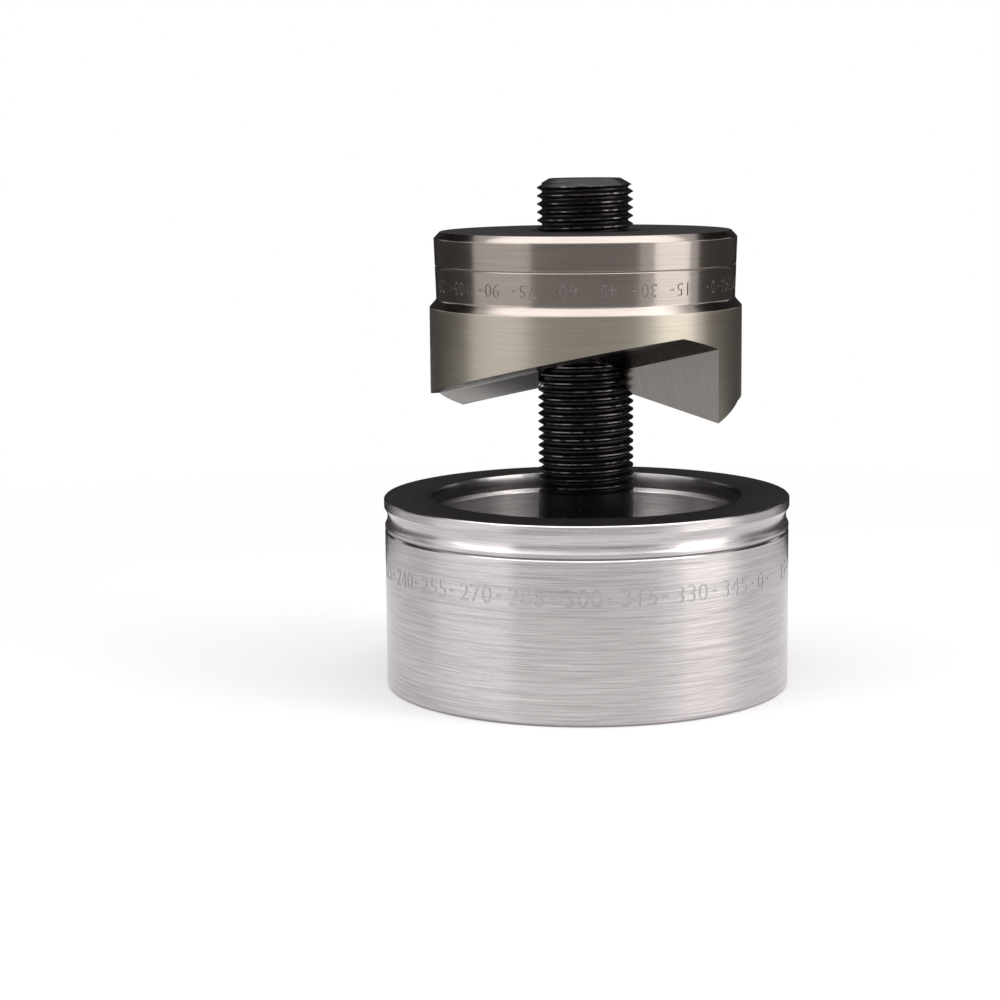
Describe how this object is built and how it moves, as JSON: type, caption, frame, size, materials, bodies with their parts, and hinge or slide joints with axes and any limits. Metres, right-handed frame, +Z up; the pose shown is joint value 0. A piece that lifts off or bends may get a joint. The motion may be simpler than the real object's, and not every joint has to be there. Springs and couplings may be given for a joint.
{
  "type": "knockout punch",
  "caption": "Round sheet-metal knockout punch with slanted cutting lips, threaded on a draw stud that stands in its cup-shaped die.",
  "frame": {"origin": "centre of the die's bottom face", "axes": "+Z up the draw stud's axis; the punch's tips lie along X; the picture looks from between +X and -Y"},
  "size_m": [0.0807, 0.0806, 0.1004],
  "materials": {
    "die_steel": "bright turned steel with fine uneven turning marks; blackened top face",
    "punch_steel": "warm grey satin ground steel; blackened top face",
    "black_oxide": "oiled black oxide on a cut thread"
  },
  "bodies": {
    "die": {"die": "die_steel"},
    "draw_stud": {"draw_stud": "black_oxide"},
    "punch": {"punch": "punch_steel"}
  },
  "joints": [
    {"name": "draw_stroke", "type": "slide", "parent": "die", "child": "draw_stud", "axis": [0, 0, 1], "range_m": [-0.022, 0.04]},
    {"name": "thread_travel", "type": "slide", "parent": "draw_stud", "child": "punch", "axis": [0, 0, 1], "range_m": [-0.02064, 0.04127]}
  ]
}
